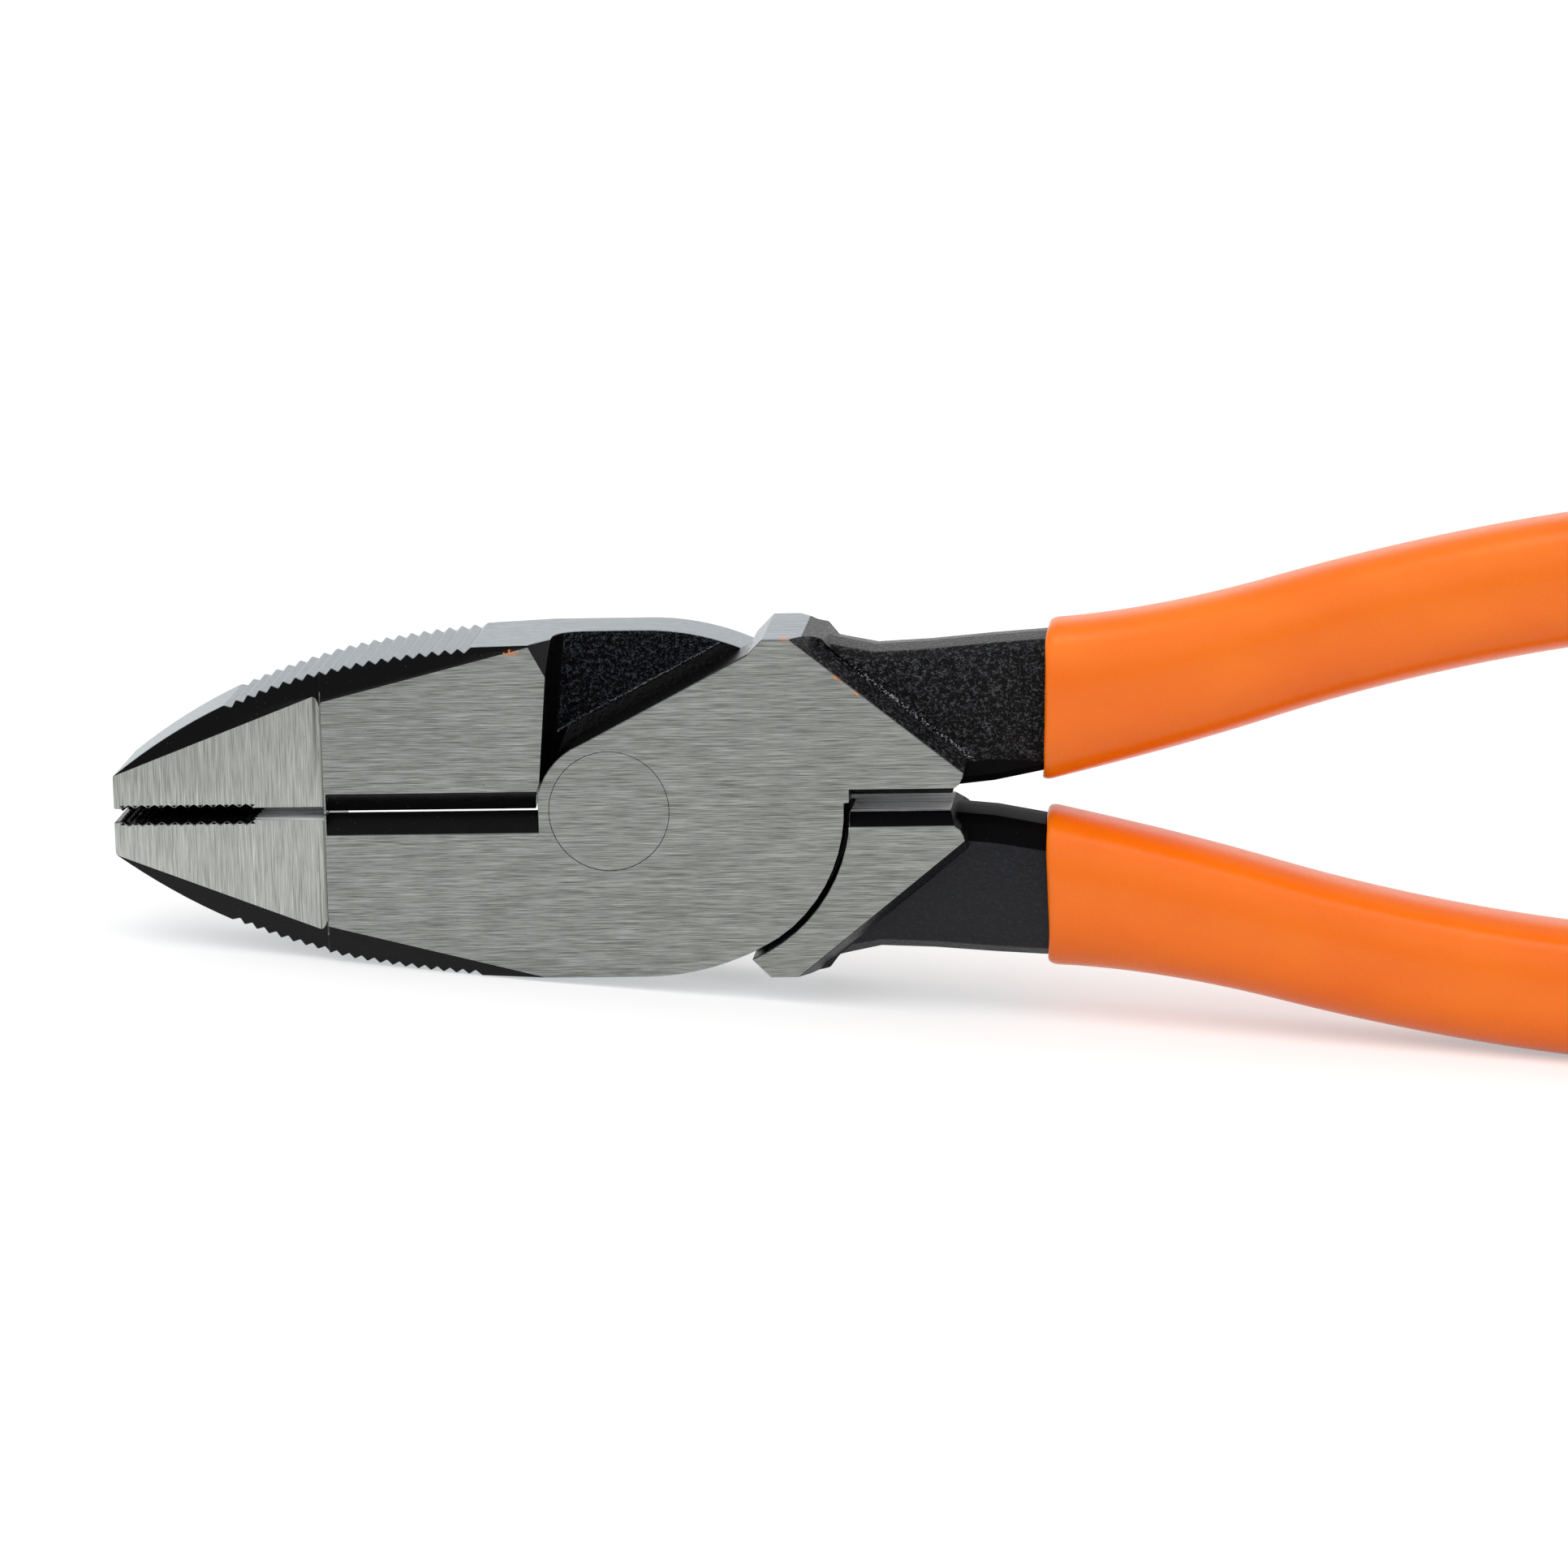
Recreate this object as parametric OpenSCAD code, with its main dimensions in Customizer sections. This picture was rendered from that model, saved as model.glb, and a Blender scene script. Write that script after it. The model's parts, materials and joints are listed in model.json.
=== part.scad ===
// Lineman pliers, standing on edge with the jaws closed.
// Two forged halves are lapped at a flush rivet. Each half carries a jaw, a side
// cutter and a handle, and each handle wears a moulded sleeve. The two halves
// are one forging, used the other way up.
// Tool frame: x runs from the jaws to the handles, y through the thickness with
// the front at -y, z across the width, and the pivot is at the origin.
// A half is described with its jaw below and its handle above, its lap in front.

/* [Overall] */
// Pivot to the tip of the jaws
jaw_l = 47; // [42:0.5:57]
// Pivot to the end of the grips
handle_l = 194; // [161:1:235]
// Thickness of the head
head_t = 15; // [12.5:0.5:18]
// Width of the closed head
head_w = 31.8; // [28:0.2:38]

/* [Jaws] */
// Height of one jaw at its tip, from the centre line
tip_h = 3.75; // [3:0.05:4.5]
// Radius of the outer edge in front of the joint
cheek_r = 98; // [80:1:118]
// Angle that the outer edge turns on that radius
cheek_turn = 10.2; // [8:0.1:12]
// Gap between the gripping faces when closed
grip_gap = 1.2; // [0.8:0.05:1.5]
// Thickness ground off each side of the nose
nose_step = 0.9; // [0.5:0.05:1.4]
// Front slope of the ground side edge of the nose
nose_bevel = 3; // [1:0.1:4]
// Slope of the side edge behind the nose
cheek_bevel = 2.6; // [1.5:0.1:4]

/* [Teeth] */
// Length of the toothed part of the gripping face
teeth_l = 12.4; // [10:0.1:15]
// Pitch of the teeth
teeth_pitch = 1.24; // [1:0.01:1.5]
// Depth of the teeth
teeth_depth = 0.35; // [0.2:0.05:0.5]
// Ridges of the knurl on the outer edge
ridges = 19; // [12:1:19]
// Pitch of the ridges
ridge_pitch = 1.22; // [1:0.01:1.25]
// Depth of the ridges
ridge_depth = 0.48; // [0.2:0.02:0.6]
// Distance along the edge from the flat of the head to the first ridge
ridge_start = 7.2; // [5:0.1:9]

/* [Cutter] */
// Length of the cutting edges
knife_l = 20; // [16:0.5:22]
// Gap between the cutting edges when closed
knife_gap = 0.1; // [0.1:0.05:0.4]
// Distance of the edge behind the front face
knife_set = 1.5; // [1:0.1:2.5]
// Drop of the front bevel below the edge
knife_bevel = 1.9; // [1.5:0.1:2.5]
// Drop of the back relief below the edge
knife_relief = 3.3; // [2.5:0.1:4]

/* [Joint] */
// Radius of the lap's nose around the rivet
lap_r = 6.9; // [6.5:0.1:8]
// Slope of the lap's free edge
lap_slope = 27.5; // [22:0.5:30]
// Largest opening angle of the handles
open_max = 34; // [25:1:36]
// Radius of the lap's rear edge
heel_r = 15; // [14:0.1:15.5]
// Centre of that radius behind the pivot
heel_x = 7.1; // [6:0.1:7.5]
// Gap between the lap's rear edge and the shoulder
heel_gap = 0.5; // [0.3:0.05:0.6]
// Clearance between the lap's nose and its pocket
pocket_gap = 0.1; // [0.05:0.05:0.2]
// Clearance between the two laps
lap_gap = 0.05; // [0.04:0.01:0.1]
// Radius of the fillet between the shoulder wall and the lap
wall_fillet = 3; // [1:0.1:4]
// Lean of the shoulder wall
wall_lean = 5; // [0:0.5:7]
// Diameter of the rivet's shank
rivet_d = 9.5; // [8:0.1:10]
// Diameter of the rivet's countersunk heads
rivet_head_d = 11.3; // [10.4:0.1:12]
// Depth of the countersinks
rivet_sink = 1.6; // [1:0.1:2.5]
// Running clearance around the rivet
rivet_gap = 0.05; // [0.03:0.01:0.1]

/* [Shoulder] */
// Height of the lug on the handle above the head's half width
lug_rise = 0.2; // [0:0.1:1]
// Pivot to the front corner of the lug
lug_x = 14.8; // [14:0.1:16]
// Length of the lug's top
lug_l = 3; // [2:0.1:4]
// Pivot to the rear corner of the head's face
root_x = 33.4; // [30:0.1:37]
// Height of that corner above the centre line
root_z = 3.2; // [2.8:0.1:4]
// Width of the ramp from the head down to the handle
ramp_w = 1; // [0.6:0.1:2.5]
// Gap between the handles behind the joint
handle_gap = 1; // [0.6:0.1:1.6]
// Height of the bevel along the handles' inner edge
inner_bevel = 1.25; // [0.8:0.05:1.6]
// Width of that bevel on the side of the half's own lap
inner_run = 4.5; // [3:0.5:8]

/* [Handles] */
// Thickness of the handles in front of the grips
tang_t = 10; // [8:0.2:11]
// Width of the handles inside the grips
tang_w = 9.6; // [8:0.1:10]
// Height of the handle's middle behind the lug
tang_z = 7.3; // [7:0.1:8]
// Outward slope of the handles at the grips' mouth
slope_mouth = 0.1; // [0.06:0.01:0.14]
// Steepest outward slope
slope_bend = 0.29; // [0.24:0.01:0.32]
// Inward slope at the end
slope_end = 0.07; // [0.02:0.01:0.1]

/* [Grips] */
// Pivot to the mouth of the grips
mouth_x = 41.2; // [40:0.2:46]
// Width of the grips
grip_w = 12.3; // [11.6:0.1:14]
// Extra width at the mouth
grip_flare = 2.7; // [2.4:0.1:3.5]
// Length over which the mouth narrows
flare_l = 14; // [12:0.5:18]
// Thickness of the grips
grip_t = 13; // [12.4:0.1:15]
// Wall of the grips over the handles' flat sides
grip_wall = 1.5; // [1.2:0.05:2]
// Wall of the grips at the edges of the mouth
mouth_wall = 1.05; // [0.5:0.05:1.4]
// Wall at the end of the grips
end_wall = 4; // [3:0.5:6]
// Length of the rounding at the end of the grips
end_r = 7; // [5:0.5:10]
// Clearance between handle and grip
grip_fit = 0.05; // [0.02:0.01:0.1]

/* [Hidden] */
$fn = 96;

half_t = head_t / 2;
half_w = head_w / 2;
lap_face = -lap_gap / 2;
over = 1;
far = 60;
// Arcs run past the lines that they meet by this much, so they cross and don't graze
nick = 0.03;
steel = "slategray";
vinyl = "darkorange";

// Where the head's outer edge is level, and the radius that rounds its rear
flat_from = -6;
flat_to = 3;
heel_edge_r = 24;

// Arc points, from angle a0 to a1
function arc(c, r, a0, a1, n) =
    [for (i = [0:n]) c + r * [cos(a0 + (a1 - a0) * i / n), sin(a0 + (a1 - a0) * i / n)]];

// The outer edge of a jaw, as the lower jaw has it: a level stretch at the joint, a
// cheek on cheek_r, and a nose whose radius makes it meet the tip
cheek_l = cheek_r * cheek_turn * PI / 180;
cheek_c = [flat_from, half_w - cheek_r];
cheek_end = cheek_c + cheek_r * [-sin(cheek_turn), cos(cheek_turn)];
nose_chord = cheek_end - [-jaw_l, tip_h];
nose_turn = 2 * (atan2(nose_chord[1], nose_chord[0]) - cheek_turn);
nose_r = norm(nose_chord) / 2 / sin(nose_turn / 2);
nose_c = cheek_end - nose_r * [-sin(cheek_turn), cos(cheek_turn)];
edge_l = cheek_l + nose_r * nose_turn * PI / 180;

// A point on that edge, s along it from the level stretch and inset below it
function edge(s, inset) =
    s < cheek_l
    ? cheek_c + (cheek_r - inset) * [-sin(s / cheek_r * 180 / PI), cos(s / cheek_r * 180 / PI)]
    : let (a = cheek_turn + (s - cheek_l) / nose_r * 180 / PI)
      nose_c + (nose_r - inset) * [-sin(a), cos(a)];

knurl_end = ridge_start + ridges * ridge_pitch;
knurl = [for (i = [0:2 * ridges])
    edge(ridge_start + i * ridge_pitch / 2, i % 2 == 0 ? ridge_depth : 0)];
plain = [for (i = [0:8]) edge(knurl_end + (edge_l - knurl_end) * (i + 0.4) / 8.4, 0)];
heel_edge = arc([flat_to, half_w - heel_edge_r], heel_edge_r, 58, 90, 12);
outer_edge = concat(heel_edge, [[flat_from, half_w], edge(ridge_start - 0.6, 0)], knurl, plain);

// Both knives end at the lap's nose
knife_x = -lap_r + 0.2;
nose_x = knife_x - knife_l - 0.2;
teeth_x = -jaw_l + 0.8;
teeth = floor(teeth_l / teeth_pitch);

// The lug on the handle. The lap's free edge runs up to its sloped front, or to its
// top where the lap is too wide for that
lug_z = half_w + lug_rise;
lap_edge = lap_r - nick;
lap_front = (lap_edge + (lug_x - lug_z) * cos(lap_slope)) / (cos(lap_slope) - sin(lap_slope));
lap_top = (lug_z * cos(lap_slope) - lap_edge) / sin(lap_slope);
lap_lip = lap_front < lap_top ? [lap_front, lap_front - lug_x + lug_z] : [lap_top, lug_z];

// The lap follows the outer edge up to where its rear edge crosses the edge's rounding
heel_to = [flat_to - heel_x, half_w - heel_edge_r];
heel_back = (heel_edge_r ^ 2 - heel_r ^ 2 - heel_to * heel_to) / 2 / norm(heel_to);
heel_side = heel_r ^ 2 - heel_back ^ 2;
lap_end = heel_side < 0
    ? heel_x
    : heel_x + (heel_to * [-heel_back, sqrt(heel_side)]) / norm(heel_to);

// The line where the head's face ends behind the lug
face_top = [lug_x + lug_l + 2.3, lug_z - 2.2];
face_end = [root_x, root_z];
face_a = atan2(face_end[1] - face_top[1], face_end[0] - face_top[0]);
function ramp_foot(u) =
    face_top + u * [cos(face_a), sin(face_a)] + ramp_w * [-sin(face_a), cos(face_a)];

// The handle's middle line: its slope changes evenly from station to station
bend_x = [20, 34, 62, 116, handle_l];
bend_m = [0, slope_mouth, slope_bend, 0, -slope_end];
function climb(x, i) =
    let (span = bend_x[i + 1] - bend_x[i], u = min(max(x - bend_x[i], 0), span))
    u * bend_m[i] + (bend_m[i + 1] - bend_m[i]) * u * u / span / 2;
function mid_z(x) = tang_z + climb(x, 0) + climb(x, 1) + climb(x, 2) + climb(x, 3);

// Half widths and half thicknesses of the handle and of the grip at x. From neck_x
// on, the handle changes to what fits the grip
neck_x = 36;
tang_end = handle_l - end_wall;
function tang_b(x) = lookup(x, [[18, lug_z - tang_z - 0.2], [22, lug_z - tang_z - 1.2],
    [25, lug_z - tang_z - 1.9], [neck_x, mouth_b + 0.35], [mouth_x, mouth_b],
    [60, tang_w / 2 + 0.4], [tang_end, tang_w / 2 - 0.2]]);
function tang_a(x) = lookup(x, [[neck_x, tang_t / 2], [mouth_x, grip_a - grip_wall],
    [tang_end, grip_a - grip_wall - 0.6]]);
function grip_b(x) = grip_w / 2 + grip_flare / 2 * exp((mouth_x - x) / flare_l);
grip_a = grip_t / 2;
mouth_b = grip_b(mouth_x) - mouth_wall;

// The mouth's lip is rounded over a third of the wall at the sides, half at the edges
lip_a = grip_a - (grip_wall - grip_fit) / 3;
lip_b = grip_b(mouth_x) - (mouth_wall - grip_fit) / 2;

// A ring of points across the handle at x, half thickness a and half width b, whose
// corners are squarer with a larger power
sides = 16;
function ring(x, z, a, b, power) =
    [for (i = [0:sides - 1]) let (c = cos(i * 360 / sides), s = sin(i * 360 / sides))
        [x, a * sign(c) * pow(abs(c), 2 / power), z + b * sign(s) * pow(abs(s), 2 / power)]];

tang_power = 4;
grip_power = 2.6;
tang_x = concat([18, 20, 22, 25, 30, neck_x], [mouth_x, 46, 52, 60, 68, 78, 90, 103, 116],
    [for (i = [1:5]) 116 + (tang_end - 116) * i / 5]);
grip_x = concat([mouth_x + 0.7, 44, 48, 53, 60, 68, 76, 84, 92, 98, 104, 110, 116],
    [for (i = [1:6]) 116 + (handle_l - end_r - 116) * i / 6]);
cap_a = [15, 30, 45, 60, 75, 86];

function tang_ring(x, fit) = ring(x, mid_z(x), tang_a(x) + fit, tang_b(x) + fit, tang_power);
function cap_ring(a) =
    let (x = handle_l - end_r * (1 - sin(a)))
    ring(x, mid_z(x), grip_a * cos(a), grip_b(x) * cos(a), grip_power);
grip_rings = concat(
    [tang_ring(tang_end + grip_fit, grip_fit)],
    [for (i = [len(tang_x) - 2:-1:0]) if (tang_x[i] >= mouth_x)
        tang_ring(tang_x[i], grip_fit)],
    [ring(mouth_x, mid_z(mouth_x), lip_a, lip_b, 3)],
    [for (x = grip_x) ring(x, mid_z(x), grip_a, grip_b(x), grip_power)],
    [for (a = cap_a) cap_ring(a)]);

// Resting on edge: the tool tips until its steel and the lower grip both touch. Its
// outlines are lists of [x, z] points on the lower side
steel_low = [for (p = concat(outer_edge, [[-jaw_l, tip_h], [lug_x, lug_z]],
    [for (x = tang_x) [x, mid_z(x) + tang_b(x)]])) [p[0], -p[1]]];
grip_low = [for (r = grip_rings) [r[sides / 4][0], -r[sides / 4][2]]];
outline = concat(steel_low, grip_low,
    [for (p = concat(steel_low, grip_low)) [p[0], -p[1]]]);
function raised(p, t) = p[0] * sin(t) + p[1] * cos(t);
function along(p, t) = p[0] * cos(t) - p[1] * sin(t);
function lowest(pts, t) =
    let (h = [for (p = pts) raised(p, t)], m = min(h))
    [for (i = [0:len(h) - 1]) if (h[i] == m) pts[i]][0];
function settle(t, n) =
    n == 0 ? t
    : let (a = lowest(steel_low, t), b = lowest(grip_low, t))
      settle(atan2(a[1] - b[1], b[0] - a[0]), n - 1);
tilt = settle(5, 8);
lift = -min([for (p = outline) raised(p, tilt)]);
reach = [for (p = outline) along(p, tilt)];
shift = -(min(reach) + max(reach)) / 2;

module stand() translate([shift, 0, lift]) rotate([0, -tilt, 0]) children();

// Extrudes an [x, z] outline from y0 to y1
module slab(y0, y1) translate([0, y1, 0]) rotate([90, 0, 0]) linear_extrude(y1 - y0) children();

// Extrudes a [y, z] outline from x0 to x1
module along_x(x0, x1)
    translate([x0, 0, 0]) rotate([90, 0, 90]) linear_extrude(x1 - x0) children();

// A closed skin over rings of points
module skin(rings) {
    n = len(rings[0]);
    last = len(rings) - 1;
    polyhedron(
        points = [for (r = rings) each r],
        faces = concat(
            [[for (j = [0:n - 1]) j]],
            [for (i = [0:last - 1], j = [0:n - 1], k = [0, 1])
                let (a = i * n + j, b = i * n + (j + 1) % n)
                k == 0 ? [b, a, b + n] : [b + n, a, a + n]],
            [[for (j = [n - 1:-1:0]) last * n + j]]));
}

// Jaw and head below the gripping face
module jaw_outline()
    polygon(concat(
        [for (p = outer_edge) [p[0], -p[1]]],
        [[-jaw_l, -tip_h], [-jaw_l, -grip_gap / 2]],
        [for (i = [0:teeth - 1], k = [0, 1, 2])
            [teeth_x + (i + k / 2.01) * teeth_pitch, -grip_gap / 2 - (k == 1 ? teeth_depth : 0)]],
        [[nose_x, -grip_gap / 2], [nose_x, -knife_gap / 2], [far, -knife_gap / 2],
         [far, -heel_edge[0][1]]]));

// Lap in front of the other half, with the face of the handle's root
module lap_outline() {
    intersection() {
        jaw_outline();
        union() {
            translate([heel_x, 0]) circle(heel_r);
            translate([-far, -far]) square([far + lap_end, 2 * far]);
        }
    }
    circle(lap_r);
    intersection() {
        translate([heel_x, 0]) circle(heel_r);
        translate([0, -over]) square([far, over + handle_gap / 2]);
    }
    polygon(concat(
        [[0, 0], lap_edge * [-sin(lap_slope), cos(lap_slope)],
         lap_lip],
        root_points));
}

root_points = [[lug_x, lug_z], [lug_x + lug_l + 0.6, lug_z], [lug_x + lug_l + 2.4, lug_z - 0.4],
    ramp_foot(0.9), ramp_foot(norm(face_end - face_top) - 0.6), face_end - [0.15, 0.45],
    [root_x - 0.45, handle_gap / 2 + inner_bevel + 0.4],
    [root_x - 1, handle_gap / 2 + inner_bevel], [root_x - 1.4, handle_gap / 2],
    [heel_x, handle_gap / 2]];

// Root of the handle beside the other half's lap
module root_outline()
    polygon(concat([[lug_x - 6, lug_z - 6]], root_points));

// Room for the other half's lap, closed and fully open
module lap_room() {
    room_r = lap_r + pocket_gap;
    circle(room_r);
    rotate(-(lap_slope + open_max + 1))
        translate([0, nick - room_r]) square([far, 2 * (room_r - nick)]);
    intersection() {
        translate([heel_x, 0]) circle(heel_r + heel_gap);
        translate([0, -far]) square([far, 2 * far]);
    }
}

// Behind the shoulder wall, down to the lap, with a fillet at the foot of the wall
module wall_cut()
    translate([-lap_r + 0.2, 0, 0]) rotate([0, -wall_lean, 0]) translate([0, 0, -far])
        linear_extrude(far) difference() {
            translate([0, lap_face]) square([far, half_t + over]);
            translate([-over, lap_face - over]) difference() {
                square(wall_fillet + over);
                translate([wall_fillet + over, wall_fillet + over - nick]) circle(wall_fillet);
            }
        }

// Flat on the corner where the shoulder wall meets the head's face and outer edge
module shoulder_cut()
    translate([-lap_r + 0.2 + half_w * sin(wall_lean), half_t, -half_w])
        polyhedron(
            points = [[-2.6, 0.6, -0.6], [0, 0.6, 4.3], [0.4, -4.1, -0.6], [1, 1, -1]],
            faces = [[0, 1, 2], [0, 3, 1], [1, 3, 2], [2, 3, 0]]);

// Above the knife: side is -1 for an edge near the lap's face and 1 for one near the other
module knife_cut(side) {
    top = -knife_gap / 2;
    tilt_room = far / 2;
    along_x(knife_x - knife_l, knife_x)
        polygon([[side * (half_t + over), tilt_room], [side * (half_t + over), top - knife_bevel],
            [side * half_t, top - knife_bevel], [side * (half_t - knife_set), top],
            [-side * half_t, top - knife_relief], [-side * (half_t + over), top - knife_relief],
            [-side * (half_t + over), tilt_room]]);
}

// Material ground off the side of the nose, with a round step
module nose_cut()
    translate([nose_x, -half_t, 0]) {
        translate([-far, -over, -far / 2]) cube([far - nose_step, nose_step + over, far]);
        translate([-nose_step, 0, -far / 2]) cylinder(r = nose_step, h = far);
    }

// Flat side edge of the nose, which ends at its step
module nose_edge_cut()
    intersection() {
        bevel_cut([-jaw_l, -tip_h], [nose_x - 1.4, -half_w + 5], -half_t + nose_step,
            nose_bevel);
        translate([nose_x - 0.15 - far, -far, -far]) cube([far, 2 * far, 2 * far]);
    }

// Flat side edge of a jaw: a plane through two points of the face's outline
module bevel_cut(from, to, y, slope) {
    a = atan2(to[1] - from[1], to[0] - from[0]);
    translate([from[0], y, from[1]]) rotate([0, -a, 0]) rotate([-atan(slope), 0, 0])
        translate([-far / 2, -far, -far]) cube([2 * far, 2 * far, far]);
}

// The face of the head ends at a line, and a ramp leads down to the handle
module ramp_cut()
    translate([face_top[0], 0, face_top[1]]) rotate([0, -face_a, 0])
        along_x(-far / 2, far)
            polygon([[-half_t - over, -over / 4], [-half_t, 0], [-tang_t / 2, ramp_w],
                [-tang_t / 2, far], [-half_t - over, far]]);

// Bevel run wide along the inner edge of the handle's root
module inner_cut(run)
    along_x(heel_x + heel_r + over / 2, far)
        polygon([[-half_t - over, 0], [-half_t - over, handle_gap / 2 + inner_bevel],
            [-half_t, handle_gap / 2 + inner_bevel],
            [-half_t + run, handle_gap / 2], [-half_t + run, 0]]);

module both_sides() {
    children();
    mirror([0, 1, 0]) children();
}

// The rivet's shape, larger by gap all round
module rivet_shape(gap)
    rotate([90, 0, 0]) rotate_extrude()
        polygon([[0, -half_t - (gap > 0 ? over : 0)],
            [rivet_head_d / 2 + gap, -half_t - (gap > 0 ? over : 0)],
            [rivet_head_d / 2 + gap, -half_t], [rivet_d / 2 + gap, -half_t + rivet_sink],
            [rivet_d / 2 + gap, half_t - rivet_sink], [rivet_head_d / 2 + gap, half_t],
            [rivet_head_d / 2 + gap, half_t + (gap > 0 ? over : 0)],
            [0, half_t + (gap > 0 ? over : 0)]]);

// One forging: knife_side as in knife_cut, gap around the rivet
module half(knife_side, gap)
    difference() {
        union() {
            slab(-half_t, lap_face) lap_outline();
            difference() {
                slab(-half_t, half_t) intersection() {
                    jaw_outline();
                    translate([-far, -far]) square([far, 2 * far]);
                }
                wall_cut();
                shoulder_cut();
            }
            slab(-half_t, half_t) root_outline();
            difference() {
                skin([for (x = tang_x) tang_ring(x, 0)]);
                translate([0, -far, handle_gap / 2 - far]) cube([far, 2 * far, far]);
            }
        }
        slab(lap_face, half_t + over) lap_room();
        knife_cut(knife_side);
        both_sides() nose_cut();
        both_sides() nose_edge_cut();
        both_sides() bevel_cut([nose_x, -half_w + 5.2], [flat_from - 1, -half_w + 0.2],
            -half_t, cheek_bevel);
        both_sides() ramp_cut();
        inner_cut(inner_run);
        mirror([0, 1, 0]) inner_cut(inner_bevel);
        rivet_shape(gap);
    }

module front_half() color(steel) stand() half(-1, rivet_gap);

module back_half() color(steel) stand() rotate([180, 0, 0]) half(1, 0);

module pivot_rivet() color(steel) stand() rivet_shape(0);

module upper_grip() color(vinyl) stand() skin(grip_rings);

module lower_grip() color(vinyl) stand() rotate([180, 0, 0]) skin(grip_rings);

front_half();
back_half();
pivot_rivet();
upper_grip();
lower_grip();
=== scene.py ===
# %% [markdown]
# # Lineman pliers
# This lesson dresses a pair of side-cutting pliers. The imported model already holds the
# true shape, size and joint of the five pieces: two forged halves, the rivet that
# joins them, and two dipped vinyl grips. Here each piece gets what the eye sees:
# softened edges, ground and painted steel, cross-cut teeth and glossy vinyl.
# Nothing is moved: each visible piece is made in the place of the piece it stands for.

# %% Load the fixed frame
import json
import math
import bmesh
import bpy
import numpy as np
from mathutils import Matrix, Vector


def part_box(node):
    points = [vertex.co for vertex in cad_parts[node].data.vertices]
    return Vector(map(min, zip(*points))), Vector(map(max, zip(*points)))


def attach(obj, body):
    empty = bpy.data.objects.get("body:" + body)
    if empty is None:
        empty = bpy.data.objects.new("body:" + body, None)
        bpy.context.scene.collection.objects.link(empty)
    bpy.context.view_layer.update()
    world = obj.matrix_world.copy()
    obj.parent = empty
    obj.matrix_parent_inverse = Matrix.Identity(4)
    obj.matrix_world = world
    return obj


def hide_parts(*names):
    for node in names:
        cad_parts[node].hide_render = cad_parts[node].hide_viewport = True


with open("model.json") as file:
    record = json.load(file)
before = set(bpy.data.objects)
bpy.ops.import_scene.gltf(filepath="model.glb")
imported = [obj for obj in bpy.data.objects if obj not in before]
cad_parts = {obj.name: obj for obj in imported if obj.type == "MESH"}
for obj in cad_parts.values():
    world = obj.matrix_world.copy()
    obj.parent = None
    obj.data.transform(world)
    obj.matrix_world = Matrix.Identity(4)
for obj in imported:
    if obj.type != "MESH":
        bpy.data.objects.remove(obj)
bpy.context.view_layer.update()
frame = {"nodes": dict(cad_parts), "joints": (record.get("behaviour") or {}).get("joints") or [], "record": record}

# %% [markdown]
# ## The tool's own frame
# The pliers stand on edge, so their long axis is tipped. A maker thinks in the tool's
# own frame: x from the jaws to the handles, y through the thickness, z across, with the
# pivot at the origin, in millimetres. The joint gives the pivot, and the mount between
# the jaws points straight along the tool, which gives the tip of the axis.

# %% From the tool's frame to the row's frame and back
MM = 0.001
pivot = Vector(frame["joints"][0]["pos_m"])
bite = next(m for m in frame["record"]["mounts"] if m["name"] == "jaw_bite")
tilt = math.atan2(-bite["axis"][2], -bite["axis"][0])
from_tool = Matrix.Translation(pivot) @ Matrix.Rotation(-tilt, 4, "Y") @ Matrix.Scale(MM, 4)
to_tool = from_tool.inverted()
turned_over = Matrix.Rotation(math.pi, 4, "X")
print("pivot", tuple(pivot), "tilt in degrees", round(math.degrees(tilt), 3))

# %% [markdown]
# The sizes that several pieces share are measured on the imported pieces, so a changed
# model changes the looks with it. What the pieces can't tell, such as where the side
# step of the nose is, is a named value from the design.

# %% Shared sizes, in millimetres
def tool_points(node):
    """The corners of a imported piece, in the tool's frame."""
    return np.array([to_tool @ v.co for v in frame["nodes"][node].data.vertices])


rivet_points = tool_points("pivot_rivet")
grip_points = tool_points("upper_grip")
face_y = rivet_points[:, 1].max()
rivet_r = rivet_points[:, 0].max()
grip_t = 2 * grip_points[:, 1].max()
mouth_x = grip_points[:, 0].min()
handle_l = grip_points[:, 0].max()
nose_x = -26.9
nose_y = face_y - 0.9
teeth_x = (-46.2, -33.8)
lug_z = 16.1
print("face", round(face_y, 3), "rivet radius", round(rivet_r, 3), "grips", round(grip_t, 2),
      "thick, from", round(mouth_x, 2), "to", round(handle_l, 2))

# %% [markdown]
# ## Writing node trees as expressions
# A node tree is easiest to read as a formula. This class wraps one output of a node:
# the operators add Math nodes, and `node` adds any other node. It works the same in
# a material, in the world and in Geometry Nodes.

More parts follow.
